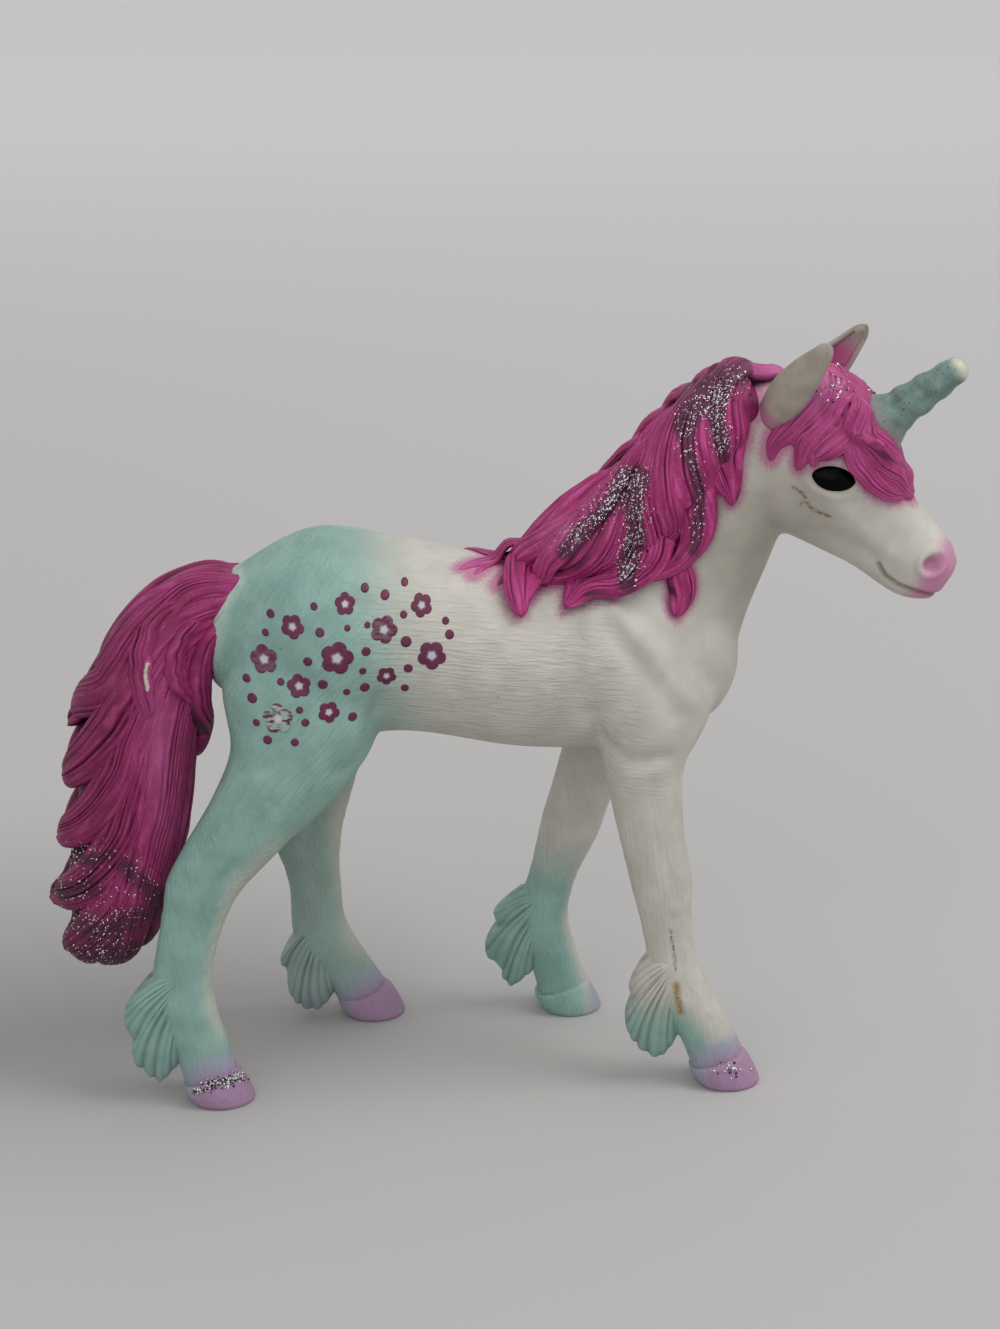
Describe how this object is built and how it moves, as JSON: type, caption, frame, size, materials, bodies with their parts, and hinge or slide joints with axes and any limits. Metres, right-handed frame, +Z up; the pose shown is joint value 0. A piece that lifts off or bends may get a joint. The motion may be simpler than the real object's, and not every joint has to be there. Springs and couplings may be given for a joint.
{
  "type": "unicorn foal figurine",
  "caption": "Small moulded figurine of a walking unicorn foal with a spiral horn, long mane and tail, feathered fetlocks and flat hoof soles.",
  "frame": {"origin": "on the ground under the middle of the figure's box", "axes": "+X towards the nose, +Y towards the animal's left, +Z up from the soles"},
  "size_m": [0.1038, 0.0292, 0.0878],
  "materials": {
    "coat": "matte white soft vinyl, airbrushed mint at the haunch",
    "coat_mint": "matte mint paint over white vinyl, lilac hooves",
    "hair": "satin magenta paint with darker grooves and silver glitter",
    "horn": "matte pale mint paint",
    "eye": "gloss black enamel"
  },
  "bodies": {
    "root": {"body": "coat", "head": "coat", "eye_right": "eye", "eye_left": "eye", "horn": "horn", "ear_right": "coat", "ear_left": "coat", "mane": "hair", "forelock": "hair", "hindleg_right": "coat_mint", "hindleg_left": "coat_mint", "foreleg_right": "coat", "foreleg_left": "coat", "tail": "hair"}
  },
  "joints": []
}
